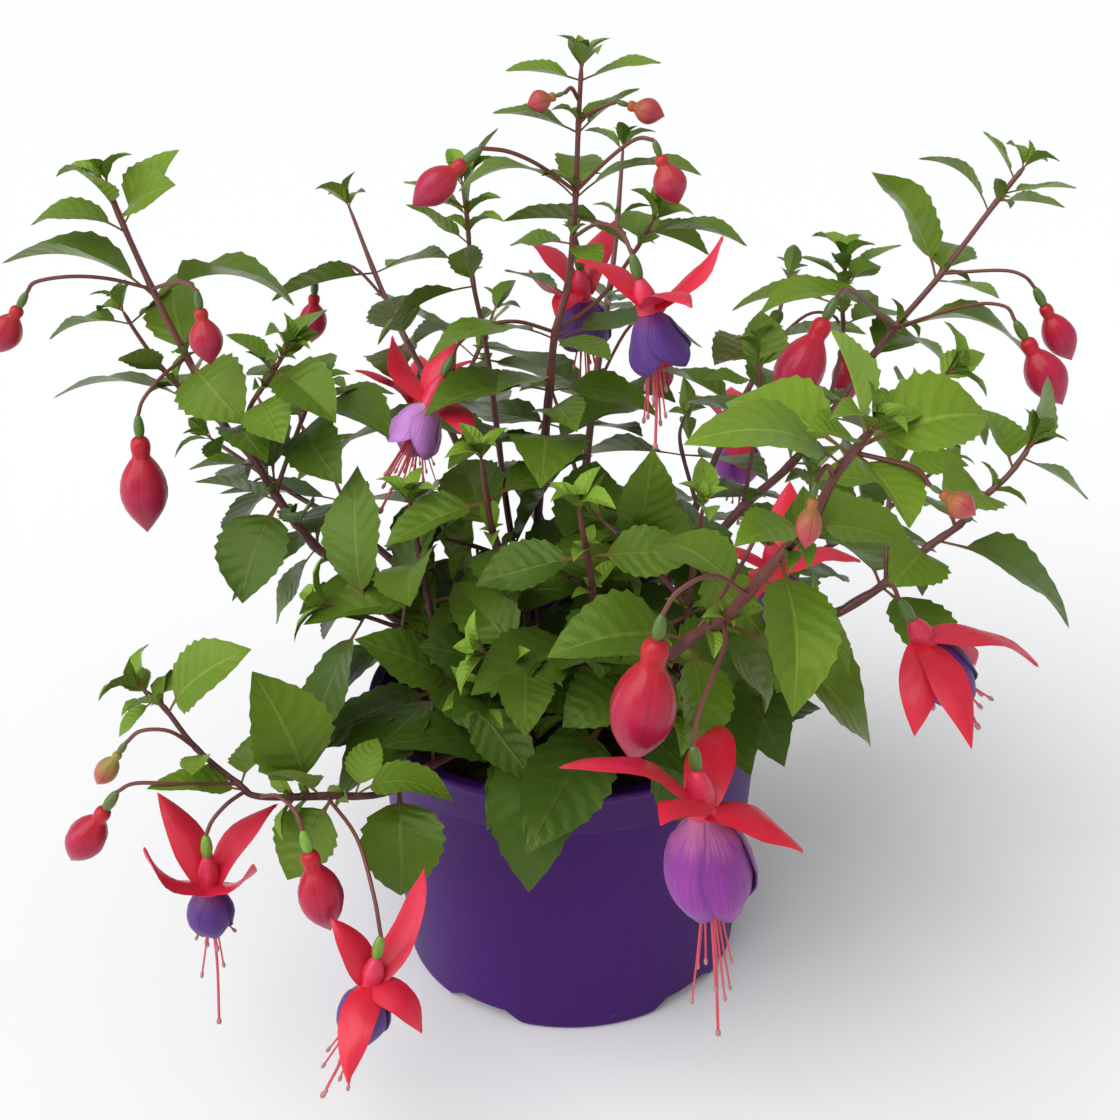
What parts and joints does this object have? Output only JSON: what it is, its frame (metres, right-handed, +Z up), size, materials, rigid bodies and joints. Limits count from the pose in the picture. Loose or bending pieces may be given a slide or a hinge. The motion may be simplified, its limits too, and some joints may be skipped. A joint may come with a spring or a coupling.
{
  "type": "potted fuchsia",
  "caption": "Bushy fuchsia with toothed leaves, red buds and hanging flowers with violet cups, in a low plastic pot on feet.",
  "frame": {"origin": "on the ground under the pot's middle, where the pot's axis meets the plane of its feet", "axes": "+Z up along the pot's axis; -Y towards the side shown in the picture, with the two long side branches along -X and +X"},
  "size_m": [0.3628, 0.328, 0.315],
  "materials": {
    "pot": "satin deep purple plastic",
    "soil": "moist dark potting soil",
    "foliage": "softly glossy green leaves on brown-red shoots",
    "bud": "smooth pink-red",
    "calyx": "waxy scarlet",
    "petal_violet": "velvety blue-violet",
    "petal_magenta": "velvety magenta-purple",
    "petal_lilac": "velvety lilac"
  },
  "bodies": {
    "root": {"pot": "pot", "soil": "soil", "stem_middle": "foliage", "stem_slender": "foliage", "stem_left": "foliage", "stem_right_tall": "foliage", "stem_right_front": "foliage", "stem_right_side": "foliage", "stem_left_trailing": "foliage", "stem_rim_front": "foliage", "stem_back_left": "foliage", "stem_back_middle": "foliage", "stem_back_right": "foliage", "stem_far_left": "foliage", "stem_far_right": "foliage", "stem_inner_left": "foliage", "stem_inner_middle": "foliage", "stem_inner_front": "foliage", "stem_inner_right": "foliage", "bud_top_left": "bud", "bud_top_right": "bud", "bud_middle_left": "bud", "bud_middle_right": "bud", "bud_far_left": "bud", "bud_left_upper": "bud", "bud_left_large": "bud", "bud_right_inner": "bud", "bud_far_right": "bud", "bud_right_outer": "bud", "bud_front_large": "bud", "bud_cluster": "bud", "bud_right_front": "bud", "bud_trailing_end": "bud", "bud_trailing_young": "bud", "bud_trailing_large": "bud", "bud_back_left": "bud", "bud_back_middle": "bud", "bud_back_right": "bud", "flower_top_calyx": "calyx", "flower_top_cup": "petal_violet", "flower_behind_calyx": "calyx", "flower_behind_cup": "petal_violet", "flower_lilac_calyx": "calyx", "flower_lilac_cup": "petal_lilac", "flower_front_calyx": "calyx", "flower_front_cup": "petal_magenta", "flower_trailing_calyx": "calyx", "flower_trailing_cup": "petal_violet", "flower_low_calyx": "calyx", "flower_low_cup": "petal_violet", "flower_right_calyx": "calyx", "flower_right_cup": "petal_violet", "flower_inner_calyx": "calyx", "flower_inner_cup": "petal_violet", "flower_back_calyx": "calyx", "flower_back_cup": "petal_violet", "flower_back_right_calyx": "calyx", "flower_back_right_cup": "petal_magenta"}
  },
  "joints": []
}
